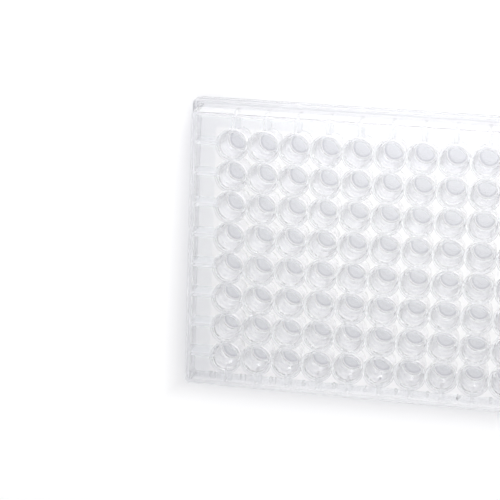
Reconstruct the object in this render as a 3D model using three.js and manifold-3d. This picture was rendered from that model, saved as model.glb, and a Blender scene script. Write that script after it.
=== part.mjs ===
// A well plate: one injection moulding in clear polystyrene, with 12 columns and 8 rows of wells hanging
// from a deck, and a skirt round them that stands on the bench. Millimetres, +Z up. The origin is the
// middle of the footprint, at the height of the bench. Columns run along +X and row A is at the +Y side.

import * as THREE from "three";
import { mergeVertices } from "three/addons/utils/BufferGeometryUtils.js";
import Module from "manifold-3d";

const wasm = await Module();
wasm.setup();

// The grid of wells
const columns = 12;
const rows = 8;
const pitch = 9; // centre to centre, both ways
const endMargin = 14.38; // from the first and last column's centres to the ends of the foot
const sideMargin = 11.24; // from the first and last row's centres to the sides of the foot

// Heights above the bench
const plateHeight = 14.35; // top of the rims
const rimRise = 1; // rims above the deck
const deckThickness = 1.1;
const footHeight = 2.4; // top of the step round the outside of the skirt
const wellStandoff = 2.25; // bench to the underside of the wells

// Skirt
const wallThickness = 1.1;
const footLedge = 1.5; // width of the step on top of the foot
const wallLean = 0.8; // how far the wall draws in between the foot and the deck
const footCornerRadius = 2.2;
const wallCornerRadius = 1.2;
const insideCornerRadius = 1; // of the hollows inside the foot and the wall

// Wells
const mouthWeb = 1.8; // between the mouths of two neighbours
const wellTaper = 0.4; // drop in the bore's radius, from the mouth to the floor's corner
const floorCorner = 0.55; // width and height of the sloped corner round the floor
const floorThickness = 1.2;
const tubeWall = 0.65; // side wall of a well below the deck
const rimWidth = 1.2; // flat top round a mouth; it runs into its neighbours' rims

// Ribs between the outer wells and the skirt
const ribThickness = 1;
const ribFootHeight = 4.5; // lower edge of a rib above the bench

// Facets
const boreSides = 10;
const outerSides = 8;
const cornerSteps = 2; // three.js makes twice as many facets of this in a quarter turn
const cutMargin = 1; // how far a cutting solid runs past the face that it opens

const plateLength = (columns - 1) * pitch + 2 * endMargin;
const plateWidth = (rows - 1) * pitch + 2 * sideMargin;
const deckTop = plateHeight - rimRise;
const deckUnderside = deckTop - deckThickness;
const joint = deckTop - deckThickness / 2; // inside the deck, where rims, tubes and ribs run into it
const mouthRadius = (pitch - mouthWeb) / 2;
const boreFootRadius = mouthRadius - wellTaper;
const floorTop = wellStandoff + floorThickness;
const boreFoot = floorTop + floorCorner;

// How far the outside of the skirt's wall stands inside the foot's outline, at a height.
function wallInset(height) {
  return footLedge + (wallLean * (height - footHeight)) / (deckTop - footHeight);
}

// The bore's radius at a height above its floor's corner.
function boreRadius(height) {
  return boreFootRadius + (wellTaper * (height - boreFoot)) / (plateHeight - boreFoot);
}

const columnX = (column) => (column - (columns - 1) / 2) * pitch;
const rowY = (row) => ((rows - 1) / 2 - row) * pitch;

// A closed three.js geometry as a solid that can be joined and cut.
function solid(geometry) {
  const bare = geometry.clone();
  bare.deleteAttribute("normal");
  bare.deleteAttribute("uv");
  const merged = mergeVertices(bare, 1e-4);
  return new wasm.Manifold(
    new wasm.Mesh({
      numProp: 3,
      vertProperties: merged.attributes.position.array,
      triVerts: new Uint32Array(merged.index.array),
    }),
  );
}

// A flat outline carried up through a list of levels. Each level has a height and the outline's size
// there along X and Y, beside the size it was drawn at.
function lofted(shape, levels) {
  const last = levels.length - 1;
  const geometry = new THREE.ExtrudeGeometry(shape, {
    depth: last,
    steps: last,
    bevelEnabled: false,
    curveSegments: cornerSteps,
  });
  const position = geometry.attributes.position;
  for (let i = 0; i < position.count; i++) {
    const { height, x, y } = levels[Math.round(position.getZ(i))];
    position.setXYZ(i, position.getX(i) * x, position.getY(i) * y, height);
  }
  return geometry;
}

// A block between two heights. Its outline is the foot's, drawn in by an inset at each height, with
// round corners.
function draftedBlock([bottom, bottomInset], [top, topInset], cornerRadius) {
  const x = plateLength / 2 - bottomInset;
  const y = plateWidth / 2 - bottomInset;
  const r = cornerRadius;
  const shape = new THREE.Shape();
  shape.absarc(x - r, y - r, r, 0, Math.PI / 2);
  shape.absarc(-x + r, y - r, r, Math.PI / 2, Math.PI);
  shape.absarc(-x + r, -y + r, r, Math.PI, 1.5 * Math.PI);
  shape.absarc(x - r, -y + r, r, 1.5 * Math.PI, 2 * Math.PI);
  const draw = topInset - bottomInset;
  return solid(
    lofted(shape, [
      { height: bottom, x: 1, y: 1 },
      { height: top, x: 1 - draw / x, y: 1 - draw / y },
    ]),
  );
}

// A profile of [radius, height] points, from the bottom up, carried round a vertical axis in flat sides.
// The sides touch the true circle from outside, and two of them are square to X.
function faceted(profile, sides) {
  const points = [];
  for (let side = 0; side < sides; side++) {
    const angle = ((side + 0.5) * 2 * Math.PI) / sides;
    points.push(new THREE.Vector2(Math.cos(angle), Math.sin(angle)));
  }
  const wider = 1 / Math.cos(Math.PI / sides);
  const levels = profile.map(([radius, height]) => ({ height, x: radius * wider, y: radius * wider }));
  return lofted(new THREE.Shape(points), levels);
}

// The foot, the leaning wall and the deck, hollow underneath. Inside the foot the hollow is wider, so
// that the top of another plate can enter it.
function skirtAndDeck() {
  const foot = draftedBlock([0, 0], [footHeight, 0], footCornerRadius);
  const wall = draftedBlock([0, wallInset(0)], [deckTop, wallInset(deckTop)], wallCornerRadius);
  const footHollow = draftedBlock(
    [-cutMargin, wallThickness],
    [footHeight - wallThickness, wallThickness],
    insideCornerRadius,
  );
  const hollow = draftedBlock(
    [-cutMargin, wallInset(-cutMargin) + wallThickness],
    [deckUnderside, wallInset(deckUnderside) + wallThickness],
    insideCornerRadius,
  );
  return foot.add(wall).subtract(footHollow).subtract(hollow);
}

// The rims of all the wells as one sheet, from inside the deck up. Each rim has eight sides that touch its
// circle. Neighbours run into each other, and leave a diamond between every four wells and a notch
// between every two along the edges.
function rimSheet() {
  const reach = mouthRadius + rimWidth;
  const halfSide = reach * Math.tan(Math.PI / 8);
  const notchDepth = pitch / 2 - halfSide;
  const outline = [];
  for (let side = 0; side < 4; side++) {
    const [along, across] = side % 2 ? [columns, rows] : [rows, columns];
    const out = ((across - 1) * pitch) / 2 + reach;
    for (let well = 0; well < along; well++) {
      const middle = (well - (along - 1) / 2) * pitch;
      const points = [
        [out, middle - halfSide],
        [out, middle + halfSide],
      ];
      if (well < along - 1) points.push([out - notchDepth, middle + pitch / 2]);
      for (const [x, y] of points) {
        outline.push(new THREE.Vector2(x, y).rotateAround(new THREE.Vector2(), (side * Math.PI) / 2));
      }
    }
  }
  const sheet = new THREE.Shape(outline);
  const tip = pitch - Math.SQRT2 * reach;
  for (let row = 0; row < rows - 1; row++) {
    for (let column = 0; column < columns - 1; column++) {
      const x = columnX(column) + pitch / 2;
      const y = rowY(row) - pitch / 2;
      const corners = [
        [x - tip, y],
        [x, y + tip],
        [x + tip, y],
        [x, y - tip],
      ];
      sheet.holes.push(new THREE.Path(corners.map(([u, v]) => new THREE.Vector2(u, v))));
    }
  }
  const geometry = new THREE.ExtrudeGeometry(sheet, { depth: plateHeight - joint, bevelEnabled: false });
  return solid(geometry.translate(0, 0, joint));
}

// The outside of one well below the deck: a tube closed at the bottom.
function wellOutside() {
  return faceted(
    [
      [boreFootRadius + tubeWall, wellStandoff],
      [boreRadius(joint) + tubeWall, joint],
    ],
    outerSides,
  );
}

// The inside of one well: a flat floor, a sloped corner and a slight taper.
function wellInside() {
  const above = plateHeight + cutMargin;
  return faceted(
    [
      [boreFootRadius - floorCorner, floorTop],
      [boreFootRadius, boreFoot],
      [boreRadius(above), above],
    ],
    boreSides,
  );
}

// A rib that runs along +X from a well's centre to the middle of the skirt's wall. The reach is the
// distance from that centre to the foot's outline.
function rib(reach) {
  const wallMiddle = (height) => reach - wallInset(height) - wallThickness / 2;
  const side = new THREE.Shape([
    new THREE.Vector2(0, ribFootHeight),
    new THREE.Vector2(wallMiddle(ribFootHeight), ribFootHeight),
    new THREE.Vector2(wallMiddle(joint), joint),
    new THREE.Vector2(0, joint),
  ]);
  const geometry = new THREE.ExtrudeGeometry(side, { depth: ribThickness, bevelEnabled: false });
  return geometry.translate(0, 0, -ribThickness / 2).rotateX(Math.PI / 2);
}

// A copy of a geometry at a well of the grid, turned about the well's axis.
function atWell(geometry, column, row, turn = 0) {
  return solid(geometry.clone().rotateZ(turn).translate(columnX(column), rowY(row), 0));
}

function wellPlate() {
  const outside = wellOutside();
  const inside = wellInside();
  const endRib = rib(endMargin);
  const sideRib = rib(sideMargin);
  let plate = skirtAndDeck().add(rimSheet());
  for (let row = 0; row < rows; row++) {
    for (let column = 0; column < columns; column++) {
      plate = plate.add(atWell(outside, column, row));
    }
    plate = plate.add(atWell(endRib, 0, row, Math.PI));
    plate = plate.add(atWell(endRib, columns - 1, row));
  }
  for (let column = 0; column < columns; column++) {
    plate = plate.add(atWell(sideRib, column, 0, Math.PI / 2));
    plate = plate.add(atWell(sideRib, column, rows - 1, -Math.PI / 2));
  }
  for (let row = 0; row < rows; row++) {
    for (let column = 0; column < columns; column++) {
      plate = plate.subtract(atWell(inside, column, row));
    }
  }
  return plate;
}

// A solid as a three.js mesh.
function mesh(name, piece, material) {
  const { vertProperties, triVerts } = piece.getMesh();
  const geometry = new THREE.BufferGeometry();
  geometry.setAttribute("position", new THREE.BufferAttribute(vertProperties, 3));
  geometry.setIndex(new THREE.BufferAttribute(triVerts, 1));
  geometry.computeVertexNormals();
  const made = new THREE.Mesh(geometry, material);
  made.name = name;
  return made;
}

const clearPolystyrene = new THREE.MeshStandardMaterial({
  color: 0xe6e8ee,
  roughness: 0.12,
  metalness: 0,
  transparent: true,
  opacity: 0.45,
  flatShading: true,
});

const group = new THREE.Group();
group.add(mesh("well_plate", wellPlate(), clearPolystyrene));

export default group;
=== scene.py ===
# A laboratory well plate moulded in clear polystyrene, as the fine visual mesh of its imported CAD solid.
# Metres, +Z up. The origin is the middle of the footprint at the height of the bench, columns of wells
# run along +X, and row A is at the +Y side.

import math

import bmesh
import bpy
from mathutils import Matrix, Vector


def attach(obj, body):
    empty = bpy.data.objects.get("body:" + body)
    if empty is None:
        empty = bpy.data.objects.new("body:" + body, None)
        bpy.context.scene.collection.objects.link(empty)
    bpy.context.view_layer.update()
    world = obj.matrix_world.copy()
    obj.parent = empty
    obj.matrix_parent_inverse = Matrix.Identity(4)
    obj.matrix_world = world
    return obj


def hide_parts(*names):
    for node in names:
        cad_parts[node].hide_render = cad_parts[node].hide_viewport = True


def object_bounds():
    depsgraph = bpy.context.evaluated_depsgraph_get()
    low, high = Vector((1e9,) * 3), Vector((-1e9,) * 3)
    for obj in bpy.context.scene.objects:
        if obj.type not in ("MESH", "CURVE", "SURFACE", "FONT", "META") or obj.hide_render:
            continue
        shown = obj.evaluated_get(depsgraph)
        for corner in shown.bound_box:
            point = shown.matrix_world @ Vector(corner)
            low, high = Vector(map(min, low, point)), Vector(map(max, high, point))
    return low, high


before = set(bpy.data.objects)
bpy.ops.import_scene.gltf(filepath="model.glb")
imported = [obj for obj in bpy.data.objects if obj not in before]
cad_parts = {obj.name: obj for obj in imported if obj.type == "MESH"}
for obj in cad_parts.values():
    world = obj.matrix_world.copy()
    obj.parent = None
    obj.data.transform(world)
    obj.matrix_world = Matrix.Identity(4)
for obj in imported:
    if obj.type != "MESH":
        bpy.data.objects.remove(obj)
cad_low, cad_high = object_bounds()

MM = 0.001

# The grid of wells
COLUMNS = 12
ROWS = 8
PITCH = 9 * MM

# Heights above the bench
RIM_TOP = cad_high.z
DECK_TOP = RIM_TOP - 1 * MM
DECK_UNDERSIDE = DECK_TOP - 1.1 * MM
FOOT_TOP = 2.4 * MM
WELL_UNDERSIDE = 2.25 * MM
WELL_FLOOR = WELL_UNDERSIDE + 1.2 * MM
JOINT = (DECK_TOP + DECK_UNDERSIDE) / 2  # inside the deck, where rims, tubes and ribs run into it

# Skirt
HALF_LENGTH = cad_high.x
HALF_WIDTH = cad_high.y
WALL = 1.1 * MM
LEDGE = 1.5 * MM
WALL_LEAN = 0.8 * MM
FOOT_CORNER = 2.2 * MM
WALL_CORNER = 1.2 * MM
INSIDE_CORNER = 1 * MM  # of the hollows inside the foot and the wall
WALL_INSIDE = LEDGE + WALL_LEAN + WALL  # from the foot's outline to the inside of the wall, below the deck

# Wells
MOUTH_RADIUS = 3.6 * MM
LEAD_IN = 0.1 * MM  # how far the chamfer round a mouth opens it
LEAD_IN_DEPTH = 0.3 * MM
BORE_FOOT_RADIUS = 3.2 * MM
FLOOR_CORNER = 0.55 * MM
TUBE_WALL = 0.65 * MM
RIM_RADIUS = 4.8 * MM

# Ribs between the outer wells and the skirt
RIB_THICKNESS = 1 * MM
RIB_FOOT = 4.5 * MM

# Rounded edges: how far back from the corner the rounding starts
DECK_EDGE = 0.25 * MM
WALL_FOOT_EDGE = 0.35 * MM  # in the corner between the wall and the foot
FOOT_TOP_EDGE = 0.3 * MM
FOOT_EDGE = 0.15 * MM  # both edges that stand on the bench, and the corner above them inside
HOLLOW_EDGE = 0.2 * MM
TUBE_FOOT_EDGE = 0.5 * MM
RIM_EDGE = 0.3 * MM
MOUTH_EDGE = 0.12 * MM

# Broad faint rings of painted reflection on the walls of the wells, and short streaks along the wall left by
# the lathe
RING_SPACING = 3.85 * MM
RING_START = 4.7 * MM
STREAK_LENGTH = 2.5 * MM
STREAK_HEIGHT = 0.625 * MM
STREAK_DEPTH = 0.05 * MM

# The grey disc that the floor of each well shows, which is painted shade that darkens towards its edge
DISC_RADIUS = 2.75 * MM
DISC_FADE = 0.35 * MM  # over which it ends, on the round corner of the floor
DISC_BORDER = 0.75 * MM  # over which it darkens towards its edge

# Raised column numbers on the deck beside row A
DIGIT_HEIGHT = 2 * MM
DIGIT_RISE = 0.2 * MM
DIGIT_BOLDNESS = 0.04 * MM  # what each edge of a stroke is moved outwards
NUMBER_OFFSET = 3.7 * MM  # from a column's centre line, towards the next higher column
NUMBER_LINE = 37 * MM

# Light: radiances, where 1 is white. The panel's places are X and Y where its height is 1.
HORIZON = 1.08
CEILING = 0.4
ROOM_FADE = 0.85  # sine of the elevation at which the ceiling's level is reached
PANEL_FLOOR = 0.05  # sine of the elevation below which the panel's places aren't worked out any further
PANEL = 1.55
PANEL_MIDDLE = (-0.2, 0.1)
PANEL_REACH = (0.435, 0.5)  # from the middle to the outside of its soft border
PANEL_BORDER = (0.07, 0.12)
SOFTBOX_PLACE = Vector((-12, -135, 95)) * MM
SOFTBOX_SIZE = 80 * MM
SOFTBOX_LEVEL = 0.3  # what it adds to the radiance of a white surface in the middle of the plate
BACKGROUND_LIFT = 0.2
SHADOW_REACH = 10 * MM  # how far from the plate the background reaches its full lift
BENCH_SIZE = 6
BENCH_GAP = 0.05 * MM  # between the foot and the bench, so that their faces don't meet

# Fineness of the mesh
WELL_SIDES = 40
FILLET_STEPS = 3
CORNER_STEPS = 10
CUT_MARGIN = 1 * MM


def linear(hex_colour):
    """An sRGB hex colour as the linear RGBA that a shader's socket takes."""
    channels = [int(hex_colour[i : i + 2], 16) / 255 for i in (1, 3, 5)]
    return [c / 12.92 if c <= 0.04045 else ((c + 0.055) / 1.055) ** 2.4 for c in channels] + [1]


def node(tree, kind, inputs=None, **settings):
    """Adds a node to a tree. An input that is given another node's output is linked to it."""
    made = tree.nodes.new(kind)
    for name, value in settings.items():
        setattr(made, name, value)
    for name, value in (inputs or {}).items():
        if isinstance(value, bpy.types.NodeSocket):
            tree.links.new(value, made.inputs[name])
        else:
            made.inputs[name].default_value = value
    return made


# ---------------------------------------------------------------- shapes


def wall_inset(height):
    """How far the outside of the skirt's wall stands inside the foot's outline, at a height."""
    return LEDGE + WALL_LEAN * (height - FOOT_TOP) / (DECK_TOP - FOOT_TOP)


def bore_radius(height):
    foot = WELL_FLOOR + FLOOR_CORNER
    return BORE_FOOT_RADIUS + (MOUTH_RADIUS - BORE_FOOT_RADIUS) * (height - foot) / (RIM_TOP - foot)


def well_centre(column, row):
    return Vector(((column - (COLUMNS - 1) / 2) * PITCH, ((ROWS - 1) / 2 - row) * PITCH, 0))


def filleted(corners):
    """A line through corners of (point, reach). Each corner with a reach is rounded over that distance."""
    line = []
    for i, (point, reach) in enumerate(corners):
        if not reach:
            line.append(Vector(point))
            continue
        corner = Vector(point)
        start = corner + (Vector(corners[i - 1][0]) - corner).normalized() * reach
        end = corner + (Vector(corners[i + 1][0]) - corner).normalized() * reach
        for step in range(FILLET_STEPS + 1):
            t = step / FILLET_STEPS
            line.append(start.lerp(corner, t).lerp(corner.lerp(end, t), t))
    return line


def skin(bm, rings):
    """Joins rings of points into a closed body, with a flat face over the first ring and the last."""
    loops = [[bm.verts.new(point) for point in ring] for ring in rings]
    for a, b in zip(loops, loops[1:]):
        for i in range(len(a)):
            j = (i + 1) % len(a)
            bm.faces.new((a[i], a[j], b[j], b[i]))
    bm.faces.new(reversed(loops[0]))
    bm.faces.new(loops[-1])


def turned(bm, profile, centre):
    """A profile of (radius, height) points, from the bottom up, turned about a vertical axis."""
    rings = []
    for radius, height in profile:
        ring = []
        for side in range(WELL_SIDES):
            angle = 2 * math.pi * side / WELL_SIDES
            ring.append(centre + Vector((radius * math.cos(angle), radius * math.sin(angle), height)))
        rings.append(ring)
    skin(bm, rings)


def rounded_rectangle(inset, height, corner_radius):
    """The foot's outline drawn in by an inset, with round corners, at a height."""
    x = HALF_LENGTH - inset - corner_radius
    y = HALF_WIDTH - inset - corner_radius
    ring = []
    for quarter, (sx, sy) in enumerate(((1, 1), (-1, 1), (-1, -1), (1, -1))):
        for step in range(CORNER_STEPS + 1):
            angle = (quarter + step / CORNER_STEPS) * math.pi / 2
            corner = Vector((sx * x, sy * y, height))
            ring.append(corner + corner_radius * Vector((math.cos(angle), math.sin(angle), 0)))
    return ring


def as_object(name, bm):
    """A bmesh as an object of the scene, with its faces turned outwards."""
    bmesh.ops.recalc_face_normals(bm, faces=bm.faces)
    mesh = bpy.data.meshes.new(name)
    bm.to_mesh(mesh)
    bm.free()
    made = bpy.data.objects.new(name, mesh)
    bpy.context.scene.collection.objects.link(made)
    return made


def skirt_and_deck():
    """The stepped skirt and the deck as one shell, open underneath. Its section runs from the deck's edge
    down the outside, round the foot and up the inside. The points are inset, height, corner radius."""
    step = FOOT_TOP - WALL
    section = filleted(
        [
            ((wall_inset(DECK_TOP) + 2 * MM, DECK_TOP, WALL_CORNER), 0),
            ((wall_inset(DECK_TOP), DECK_TOP, WALL_CORNER), DECK_EDGE),
            ((wall_inset(FOOT_TOP), FOOT_TOP, WALL_CORNER), WALL_FOOT_EDGE),
            ((0, FOOT_TOP, FOOT_CORNER), FOOT_TOP_EDGE),
            ((0, 0, FOOT_CORNER), FOOT_EDGE),
            ((WALL, 0, INSIDE_CORNER), FOOT_EDGE),
            ((WALL, step, INSIDE_CORNER), FOOT_EDGE),
            ((wall_inset(step) + WALL, step, INSIDE_CORNER), HOLLOW_EDGE),
            ((wall_inset(DECK_UNDERSIDE) + WALL, DECK_UNDERSIDE, INSIDE_CORNER), HOLLOW_EDGE),
            ((wall_inset(DECK_UNDERSIDE) + 3 * WALL, DECK_UNDERSIDE, INSIDE_CORNER), 0),
        ]
    )
    bm = bmesh.new()
    skin(bm, [rounded_rectangle(*point) for point in section])
    return as_object("skirt_and_deck", bm)


def well_outsides(parity):
    """Every second well's rim and closed tube, as on one colour of a chessboard, so that none overlap."""
    profile = filleted(
        [
            ((0, WELL_UNDERSIDE), 0),
            ((bore_radius(WELL_UNDERSIDE) + TUBE_WALL, WELL_UNDERSIDE), TUBE_FOOT_EDGE),
            ((bore_radius(JOINT) + TUBE_WALL, JOINT), 0),
            ((RIM_RADIUS, JOINT), 0),
            ((RIM_RADIUS, RIM_TOP), RIM_EDGE),
            ((0, RIM_TOP), 0),
        ]
    )[1:-1]
    bm = bmesh.new()
    for row in range(ROWS):
        for column in range(COLUMNS):
            if (row + column) % 2 == parity:
                turned(bm, profile, well_centre(column, row))
    return as_object("well_outsides", bm)


def bores():
    """The insides of all the wells: a flat floor, a round corner, a slight taper and a chamfered mouth."""
    lip = RIM_TOP - LEAD_IN_DEPTH
    profile = filleted(
        [
            ((0, WELL_FLOOR), 0),
            ((bore_radius(WELL_FLOOR), WELL_FLOOR), FLOOR_CORNER),
            ((bore_radius(lip), lip), MOUTH_EDGE),
            ((MOUTH_RADIUS + LEAD_IN, RIM_TOP), MOUTH_EDGE),
            ((MOUTH_RADIUS + 3 * LEAD_IN, RIM_TOP + 0.01 * MM), 0),
        ]
    )[1:-1]
    rim_radius = profile[-1][0]
    profile.append(Vector((rim_radius, RIM_TOP + CUT_MARGIN)))
    bm = bmesh.new()
    for row in range(ROWS):
        for column in range(COLUMNS):
            turned(bm, profile, well_centre(column, row))
    return as_object("bores", bm)


def rib(bm, well, outward, reach):
    """A rib from inside the wall of a well's tube to the middle of the skirt's wall. The reach is the
    distance from the well's centre to the foot's outline."""
    start = BORE_FOOT_RADIUS + 0.8 * TUBE_WALL
    side = outward.cross(Vector((0, 0, 1))) * RIB_THICKNESS / 2
    section = [
        (start, RIB_FOOT),
        (reach - wall_inset(RIB_FOOT) - WALL / 2, RIB_FOOT),
        (reach - wall_inset(JOINT) - WALL / 2, JOINT),
        (start, JOINT),
    ]
    middle = [well + outward * along + Vector((0, 0, height)) for along, height in section]
    skin(bm, [[point + face for point in middle] for face in (side, -side)])


def ribs():
    bm = bmesh.new()
    for row in range(ROWS):
        for column, outward in ((0, Vector((-1, 0, 0))), (COLUMNS - 1, Vector((1, 0, 0)))):
            well = well_centre(column, row)
            rib(bm, well, outward, HALF_LENGTH - abs(well.x))
    for column in range(COLUMNS):
        for row, outward in ((0, Vector((0, 1, 0))), (ROWS - 1, Vector((0, -1, 0)))):
            well = well_centre(column, row)
            rib(bm, well, outward, HALF_WIDTH - abs(well.y))
    return as_object("ribs", bm)


def column_numbers():
    """The numbers 1 to 12 as low raised figures, sunk a little into the deck."""
    cap_share = 0.73  # height of a figure in Blender's own font, as a share of the font's size
    bm = bmesh.new()
    for column in range(COLUMNS):
        text = bpy.data.curves.new("number", "FONT")
        text.body = str(column + 1)
        text.size = DIGIT_HEIGHT / cap_share
        text.align_x = "CENTER"
        text.align_y = "CENTER"
        text.extrude = DIGIT_RISE
        text.offset = DIGIT_BOLDNESS
        text.resolution_u = 3
        figure = bpy.data.objects.new("number", text)
        mesh = bpy.data.meshes.new_from_object(figure)
        mesh.transform(
            Matrix.Translation((well_centre(column, 0).x + NUMBER_OFFSET, NUMBER_LINE, DECK_TOP))
        )
        bm.from_mesh(mesh)
        bpy.data.objects.remove(figure)
        bpy.data.curves.remove(text)
        bpy.data.meshes.remove(mesh)
    bmesh.ops.remove_doubles(bm, verts=bm.verts, dist=0.0001 * MM)
    return as_object("column_numbers", bm)


def combine(body, other, operation):
    """Joins another solid to a body, or cuts it out of it."""
    modifier = body.modifiers.new(operation, "BOOLEAN")
    modifier.operation = operation
    modifier.solver = "MANIFOLD"
    modifier.object = other
    graph = bpy.context.evaluated_depsgraph_get()
    mesh = bpy.data.meshes.new_from_object(body.evaluated_get(graph))
    body.modifiers.clear()
    body.data = mesh
    bpy.data.objects.remove(other)


def clear_plate():
    plate = skirt_and_deck()
    combine(plate, well_outsides(0), "UNION")
    combine(plate, well_outsides(1), "UNION")
    combine(plate, ribs(), "UNION")
    combine(plate, bores(), "DIFFERENCE")
    combine(plate, column_numbers(), "UNION")
    plate.name = "clear_plate"
    plate.data.name = "clear_plate"
    plate.data.shade_smooth()
    plate.data.set_sharp_from_angle(angle=math.radians(35))
    normals = plate.modifiers.new("flat faces stay flat", "WEIGHTED_NORMAL")
    normals.keep_sharp = True
    return plate


# ---------------------------------------------------------------- materials


def zone(tree, *limits):
    """How far a place lies inside all the limits of a zone, from 0 to 1. A limit is a value, the number at
    which the zone begins and the number at which it is full, which may be the lower of the two."""
    share = 1.0
    for value, begins, full in limits:
        rising = begins < full
        ramp = node(
            tree,
            "ShaderNodeMapRange",
            {
                "Value": value,
                "From Min": min(begins, full),
                "From Max": max(begins, full),
                "To Min": 0.0 if rising else 1.0,
                "To Max": 1.0 if rising else 0.0,
            },
            interpolation_type="SMOOTHSTEP",
        )
        share = node(tree, "ShaderNodeMath", {0: share, 1: ramp.outputs[0]}, operation="MULTIPLY").outputs[0]
    return share


def from_well_centre(tree, place):
    """The distance, seen from above, from a place to the centre of the nearest well."""
    last = well_centre(COLUMNS - 1, 0)
    half_cell = (PITCH / 2, PITCH / 2, 0)
    flat = node(tree, "ShaderNodeVectorMath", {0: place, 1: (1, 1, 0)}, operation="MULTIPLY").outputs[0]
    cell = node(tree, "ShaderNodeVectorMath", {0: flat, 1: (PITCH, PITCH, 1)}, operation="SNAP").outputs[0]
    centre = node(tree, "ShaderNodeVectorMath", {0: cell, 1: half_cell}, operation="ADD").outputs[0]
    centre = node(tree, "ShaderNodeVectorMath", {0: centre, 1: last}, operation="MINIMUM").outputs[0]
    centre = node(tree, "ShaderNodeVectorMath", {0: centre, 1: -last}, operation="MAXIMUM").outputs[0]
    return node(tree, "ShaderNodeVectorMath", {0: flat, 1: centre}, operation="DISTANCE").outputs["Value"]


def beyond(tree, place, half_length, half_width):
    """How far outside a rectangle round the origin a place is, seen from above. It is negative inside."""
    corner = (half_length, half_width, 0)
    size = node(tree, "ShaderNodeVectorMath", {0: place}, operation="ABSOLUTE").outputs[0]
    past = node(tree, "ShaderNodeVectorMath", {0: size, 1: corner}, operation="SUBTRACT").outputs[0]
    sides = node(tree, "ShaderNodeSeparateXYZ", {0: past})
    both = {0: sides.outputs["X"], 1: sides.outputs["Y"]}
    return node(tree, "ShaderNodeMath", both, operation="MAXIMUM").outputs[0]


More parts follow.
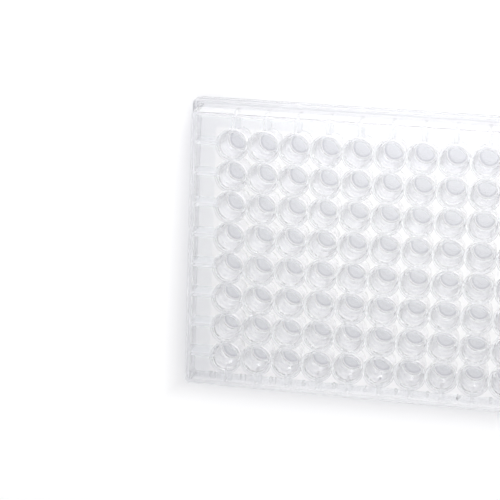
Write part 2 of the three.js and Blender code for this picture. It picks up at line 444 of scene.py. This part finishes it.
def clear_polystyrene():
    """Clear polystyrene, injection moulded against polished steel. It bends light strongly, so every edge
    draws a thin grey line and the plate looks like clear glass with a cool cast. The pins that mould the
    wells are turned on a lathe, which leaves faint streaks on the walls of the wells, and the slots that
    mould the ribs are spark-cut and matt. So the walls, the ribs and the edges round the mouths look a
    little milky. Faint grey rings round the walls of the wells are painted reflections. The flat floors are
    the grey discs that the eye picks out first, and they are darkest round their edges; this grey is
    painted shade. The corners of the foot carry a painted shadow, a darker grey line round the plate, and
    the deck beside the wells carries a little painted shade."""
    material = bpy.data.materials.new("clear_polystyrene")
    material.use_nodes = True
    tree = material.node_tree
    tree.nodes.clear()
    place = node(tree, "ShaderNodeTexCoord").outputs["Object"]
    parts = node(tree, "ShaderNodeSeparateXYZ", {0: place})
    across, height = parts.outputs["Y"], parts.outputs["Z"]
    radius = from_well_centre(tree, place)
    last = well_centre(COLUMNS - 1, 0)
    tube = BORE_FOOT_RADIUS + TUBE_WALL
    past_rims = beyond(tree, place, last.x + RIM_RADIUS, last.y + RIM_RADIUS)
    past_tubes = beyond(tree, place, last.x + tube, last.y + tube)
    past_foot = beyond(tree, place, HALF_LENGTH, HALF_WIDTH)

    # Where each finish and each painted shade is. Most begin and end over a few tenths of a millimetre
    # beside the edge they are named for, so that no line shows there that the shape doesn't have.
    bore_foot = WELL_FLOOR + FLOOR_CORNER
    on_floor = (height, bore_foot, bore_foot - 0.5 * FLOOR_CORNER)
    in_disc = (radius, DISC_RADIUS + DISC_FADE, DISC_RADIUS)
    below_top = (height, RIM_TOP, RIM_TOP - 0.1 * MM)
    # The floor's grey disc and its darker edge are painted shade
    floor = zone(tree, on_floor, in_disc)
    floor_edge_painted_shade = zone(tree, on_floor, in_disc, (radius, DISC_RADIUS - DISC_BORDER, DISC_RADIUS))
    wall = zone(
        tree,
        (radius, RIM_RADIUS - 0.2 * MM, RIM_RADIUS - 0.4 * MM),
        (height, bore_foot - 0.8 * FLOOR_CORNER, bore_foot),
        (height, DECK_TOP, DECK_TOP - 0.4 * MM),
    )
    lip = zone(
        tree,
        (radius, MOUTH_RADIUS + 0.35 * MM, MOUTH_RADIUS + 0.25 * MM),
        (height, DECK_TOP - 1 * MM, DECK_TOP),
        below_top,
    )
    rim_side = zone(
        tree,
        (radius, RIM_RADIUS - 0.3 * MM, RIM_RADIUS - 0.2 * MM),
        (height, DECK_TOP, DECK_TOP + 0.3 * MM),
        below_top,
    )
    rim = zone(tree, (height, RIM_TOP - 0.1 * MM, RIM_TOP - 0.05 * MM))
    number_foot = NUMBER_LINE - DIGIT_HEIGHT / 2
    figures = zone(
        tree,
        (across, number_foot - 0.1 * MM, number_foot + 0.1 * MM),
        (height, DECK_TOP, DECK_TOP + 0.05 * MM),
    )
    # Painted shade: the deck outside the rims is made a little greyer
    flange_painted_shade = zone(tree, (past_rims, 0.0, 0.3 * MM), (height, DECK_UNDERSIDE - 0.2 * MM, DECK_UNDERSIDE))
    skirt = zone(
        tree,
        (past_foot, -WALL_INSIDE - 0.6 * MM, -WALL_INSIDE - 0.2 * MM),
        (height, DECK_TOP, DECK_TOP - 0.6 * MM),
    )
    # A painted shadow line at the corner of the foot on the bench, and painted shade in the corner between
    # the wall and the step on the foot
    foot_painted_shadow = zone(tree, (past_foot, -0.8 * MM, -0.4 * MM), (height, 1.1 * MM, 0.7 * MM))
    wall_foot_painted_shade = zone(
        tree,
        (past_foot, -LEDGE - 0.5 * MM, -LEDGE - 0.3 * MM),
        (past_foot, -LEDGE + 0.5 * MM, -LEDGE + 0.3 * MM),
        (height, FOOT_TOP - 0.1 * MM, FOOT_TOP),
        (height, FOOT_TOP + 0.7 * MM, FOOT_TOP + 0.4 * MM),
    )
    rib_faces = zone(
        tree,
        (past_tubes, -0.2 * MM, 0.2 * MM),
        (past_foot, -WALL_INSIDE - 0.1 * MM, -WALL_INSIDE - 0.4 * MM),
        (height, RIB_FOOT - 0.2 * MM, RIB_FOOT - 0.1 * MM),
        (height, DECK_UNDERSIDE - 0.1 * MM, DECK_UNDERSIDE - 0.3 * MM),
    )

    # The lathe's streaks, drawn far coarser than real ones so that they show, and rings of painted
    # reflection
    stretch = (1 / STREAK_LENGTH, 1 / STREAK_LENGTH, 1 / STREAK_HEIGHT)
    stretched = node(tree, "ShaderNodeVectorMath", {0: place, 1: stretch}, operation="MULTIPLY").outputs[0]
    grain = {"Vector": stretched, "Scale": 1.0, "Detail": 2.0, "Roughness": 0.6}
    marks = zone(tree, (node(tree, "ShaderNodeTexNoise", grain).outputs["Fac"], 0.3, 0.7))
    wall_milk = node(tree, "ShaderNodeMapRange", {"Value": marks, "To Min": 0.15, "To Max": 0.52}).outputs[0]
    streaks = node(tree, "ShaderNodeMath", {0: wall, 1: marks}, operation="MULTIPLY").outputs[0]
    ripple = node(tree, "ShaderNodeBump", {"Strength": 0.35, "Distance": STREAK_DEPTH, "Height": streaks})
    # Faint grey rings round the walls, which are painted reflections
    turn = 2 * math.pi / RING_SPACING
    turns = {0: height, 1: turn, 2: -turn * RING_START}
    phase = node(tree, "ShaderNodeMath", turns, operation="MULTIPLY_ADD").outputs[0]
    wave = node(tree, "ShaderNodeMath", {0: phase}, operation="COSINE").outputs[0]
    rings = zone(tree, (wave, 1.0, -1.0))
    rings = node(tree, "ShaderNodeMath", {0: rings, 1: wall}, operation="MULTIPLY").outputs[0]

    # How milky each finish is, where 1 is opaque white
    milk = 0.0
    for share, level in (
        (wall, wall_milk),
        (lip, 0.2),
        (rim_side, 0.6),
        (figures, 0.2),
        (skirt, 0.18),
        (rib_faces, 0.4),
    ):
        part = node(tree, "ShaderNodeMath", {0: share, 1: level}, operation="MULTIPLY").outputs[0]
        milk = node(tree, "ShaderNodeMath", {0: milk, 1: part}, operation="MAXIMUM").outputs[0]
    clear = node(tree, "ShaderNodeMath", {0: 1.0, 1: milk}, operation="SUBTRACT").outputs[0]

    # What a crossing of each surface lets through. It is the plastic's faint cool cast on the skirt and
    # faint random streaks on the walls, and the rim tops, the figures and the rib faces are made greyer. On
    # the floors, their edges, the flange and the corners of the foot it is painted shade, and the rings are
    # painted reflections. Where two finishes meet, the later one holds.
    tint = linear("#FFFFFF")
    for share, colour in (
        (floor, "#E9EAED"),
        (floor_edge_painted_shade, "#D1D2D7"),
        (rim, "#E3E4E7"),
        (flange_painted_shade, "#F8F9FA"),
        (skirt, "#FDFDFE"),
        (rib_faces, "#F4F5F7"),
        (foot_painted_shadow, "#A6A8AD"),
        (wall_foot_painted_shade, "#DBDCDF"),
        (figures, "#DCDCDF"),
        (streaks, "#FAFAFB"),
        (rings, "#F2F2F5"),
    ):
        layer = {0: share, 6: tint, 7: linear(colour)}
        tint = node(tree, "ShaderNodeMix", layer, data_type="RGBA").outputs[2]
    shade = linear("#FDFDFD")
    for share, colour in ((floor, "#F6F6F7"), (skirt, "#F4F4F6")):
        layer = {0: share, 6: shade, 7: linear(colour)}
        shade = node(tree, "ShaderNodeMix", layer, data_type="RGBA").outputs[2]

    plastic = node(
        tree,
        "ShaderNodeBsdfPrincipled",
        {
            "Base Color": tint,
            "Roughness": 0.09,
            "IOR": 1.59,
            "Transmission Weight": clear,
            "Normal": ripple.outputs[0],
        },
    )
    # Light on its way to a lamp, or from the bench to the room, passes straight on
    surface = plastic.outputs[0]
    unbent = node(tree, "ShaderNodeBsdfTransparent", {"Color": shade}).outputs[0]
    path = node(tree, "ShaderNodeLightPath")
    for ray in ("Is Shadow Ray", "Is Diffuse Ray"):
        surface = node(tree, "ShaderNodeMixShader", {0: path.outputs[ray], 1: surface, 2: unbent}).outputs[0]
    node(tree, "ShaderNodeOutputMaterial", {"Surface": surface})
    return material


def bench_material():
    """A bench with matt off-white paint. Seen directly or in the plastic it is lifted to the white of the
    background, less so beside the plate, so that the plate's shadow stays."""
    material = bpy.data.materials.new("matt_white_paint")
    material.use_nodes = True
    tree = material.node_tree
    tree.nodes.clear()
    place = node(tree, "ShaderNodeTexCoord").outputs["Object"]
    past_foot = beyond(tree, place, HALF_LENGTH, HALF_WIDTH)
    path = node(tree, "ShaderNodeLightPath")
    seen = 0.0
    for ray in ("Is Camera Ray", "Is Glossy Ray", "Is Transmission Ray"):
        seen = node(tree, "ShaderNodeMath", {0: seen, 1: path.outputs[ray]}, operation="MAXIMUM").outputs[0]
    away = zone(tree, (past_foot, 0.0, SHADOW_REACH), (seen, 0.0, 1.0))
    lift = node(tree, "ShaderNodeMath", {0: away, 1: BACKGROUND_LIFT}, operation="MULTIPLY").outputs[0]
    paint = node(tree, "ShaderNodeBsdfDiffuse", {"Color": linear("#F7F7F8")}).outputs[0]
    glow = node(tree, "ShaderNodeEmission", {"Color": linear("#FFFFFF"), "Strength": lift}).outputs[0]
    both = node(tree, "ShaderNodeAddShader", {0: paint, 1: glow}).outputs[0]
    node(tree, "ShaderNodeOutputMaterial", {"Surface": both})
    return material


# ---------------------------------------------------------------- scene


def camera():
    """A long lens high over the plate, rolled so that row A is at the bottom of the view."""
    aim = Vector((43.21 * MM, -1.55 * MM, RIM_TOP))
    azimuth, elevation, roll = (math.radians(a) for a in (-37.05, 72.15, -139.64))
    distance = 518.09 * MM
    right = Vector((math.cos(azimuth), math.sin(azimuth), 0))
    level = Vector((math.sin(azimuth), -math.cos(azimuth), 0))
    back = level * math.cos(elevation) + Vector((0, 0, math.sin(elevation)))
    turn = Matrix((right, back.cross(right), back)).transposed().to_4x4()
    lens = bpy.data.cameras.new("camera")
    lens.lens = 130.16
    lens.clip_start = 10 * MM
    lens.clip_end = 50
    made = bpy.data.objects.new("camera", lens)
    made.matrix_world = Matrix.Translation(aim + back * distance) @ turn @ Matrix.Rotation(roll, 4, "Z")
    bpy.context.scene.collection.objects.link(made)
    bpy.context.scene.camera = made


def bench():
    bm = bmesh.new()
    bmesh.ops.create_grid(bm, x_segments=1, y_segments=1, size=BENCH_SIZE / 2)
    floor = as_object("bench", bm)
    floor.location.z = -BENCH_GAP
    floor.data.materials.append(bench_material())


def studio():
    """A pale room with one large soft-edged light panel overhead. Its edge on the +X side fades out in the
    reflection on the deck beside column 12."""
    world = bpy.data.worlds.new("studio")
    world.use_nodes = True
    bpy.context.scene.world = world
    tree = world.node_tree
    tree.nodes.clear()
    direction = node(tree, "ShaderNodeTexCoord").outputs["Generated"]
    height = node(tree, "ShaderNodeSeparateXYZ", {0: direction}).outputs["Z"]
    room = node(
        tree,
        "ShaderNodeMapRange",
        {"Value": height, "From Min": 0.0, "From Max": ROOM_FADE, "To Min": HORIZON, "To Max": CEILING},
        interpolation_type="SMOOTHSTEP",
    )
    above = node(tree, "ShaderNodeMath", {0: height, 1: PANEL_FLOOR}, operation="MAXIMUM")
    on_ceiling = node(tree, "ShaderNodeVectorMath", {0: direction, 1: above.outputs[0]}, operation="DIVIDE")
    middle = (*PANEL_MIDDLE, 1)
    offset = node(tree, "ShaderNodeVectorMath", {0: on_ceiling.outputs[0], 1: middle}, operation="SUBTRACT")
    off_middle = node(tree, "ShaderNodeVectorMath", {0: offset.outputs[0]}, operation="ABSOLUTE")
    inner = [reach - border for reach, border in zip(PANEL_REACH, PANEL_BORDER)]
    cover = node(
        tree,
        "ShaderNodeMapRange",
        {
            "Vector": off_middle.outputs[0],
            7: (*PANEL_REACH, 1),
            8: (*inner, 0),
            9: (0, 0, 0),
            10: (1, 1, 1),
        },
        data_type="FLOAT_VECTOR",
        interpolation_type="SMOOTHSTEP",
    )
    sides = node(tree, "ShaderNodeSeparateXYZ", {0: cover.outputs["Vector"]})
    both = {0: sides.outputs["X"], 1: sides.outputs["Y"]}
    panel = node(tree, "ShaderNodeMath", both, operation="MULTIPLY")
    added = {0: panel.outputs[0], 1: PANEL, 2: room.outputs[0]}
    strength = node(tree, "ShaderNodeMath", added, operation="MULTIPLY_ADD")
    light = node(tree, "ShaderNodeBackground", {"Color": linear("#FFFFFF"), "Strength": strength.outputs[0]})
    node(tree, "ShaderNodeOutputWorld", {"Surface": light.outputs[0]})


def softbox():
    """A small soft lamp near the row H side, so that the light falls off across the plate to row A."""
    lamp = bpy.data.lights.new("softbox", "AREA")
    lamp.shape = "SQUARE"
    lamp.size = SOFTBOX_SIZE
    distance = SOFTBOX_PLACE.length
    lamp.energy = SOFTBOX_LEVEL * math.pi**2 * distance**2 * distance / SOFTBOX_PLACE.z
    made = bpy.data.objects.new("softbox", lamp)
    facing = SOFTBOX_PLACE.to_track_quat("Z", "Y").to_matrix().to_4x4()
    made.matrix_world = Matrix.Translation(SOFTBOX_PLACE) @ facing
    made.visible_glossy = False
    made.visible_transmission = False
    bpy.context.scene.collection.objects.link(made)


camera()
studio()
softbox()
bench()

plate = clear_plate()
plate.data.materials.clear()
plate.data.materials.append(clear_polystyrene())
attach(plate, "root")
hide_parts("well_plate")

scene = bpy.context.scene
scene.view_settings.view_transform = "Standard"
scene.cycles.max_bounces = 32
scene.cycles.glossy_bounces = 24
scene.cycles.transmission_bounces = 24
scene.cycles.transparent_max_bounces = 48
